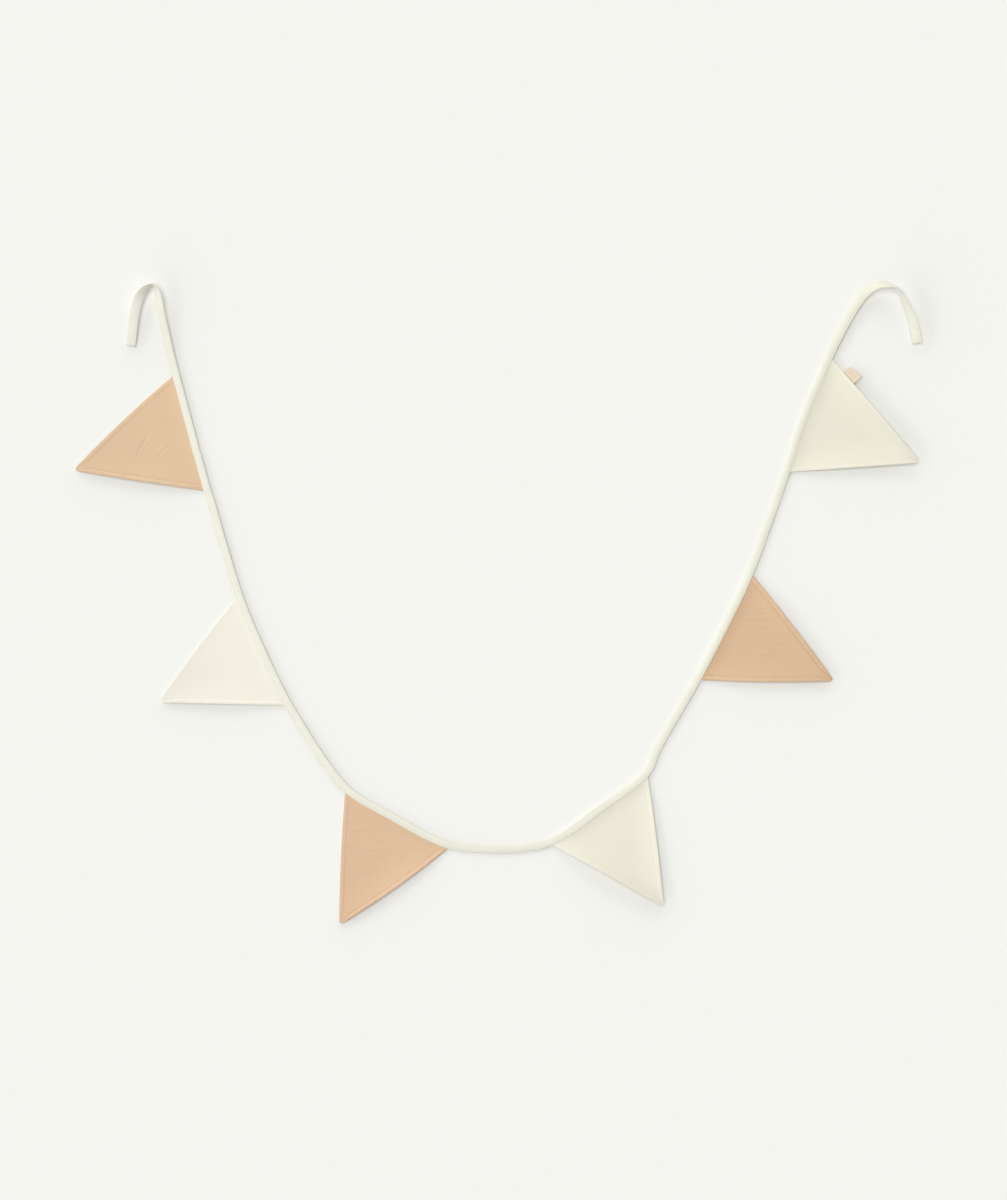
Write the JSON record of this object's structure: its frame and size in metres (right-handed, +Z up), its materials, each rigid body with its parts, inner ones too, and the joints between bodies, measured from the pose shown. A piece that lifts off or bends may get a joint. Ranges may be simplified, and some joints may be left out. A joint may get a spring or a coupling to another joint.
{
  "type": "fabric bunting",
  "caption": "Fabric bunting laid out in a U: triangular cloth pennants, peach and cream by turns, sewn into a narrow folded binding with free tie ends, and a small plain label.",
  "frame": {"origin": "middle of the bunting's outline as it lies, on the flat surface under it", "axes": "+X runs across the U from the left arm to the right arm, +Y towards the free tie ends, +Z up out of the surface"},
  "size_m": [1.0554, 0.801, 0.0191],
  "materials": {
    "binding": "cream cotton, folded and stitched flat, matte",
    "peach_cotton": "plain woven cotton, matte, two layers sewn and turned",
    "cream_cotton": "plain woven cotton, matte, two layers sewn and turned",
    "label_weave": "fine woven tape, folded once, matte"
  },
  "bodies": {
    "root": {"tape": "binding", "pennant_1": "peach_cotton", "pennant_2": "cream_cotton", "pennant_3": "peach_cotton", "pennant_4": "cream_cotton", "pennant_5": "peach_cotton", "pennant_6": "cream_cotton", "label": "label_weave"}
  },
  "joints": []
}
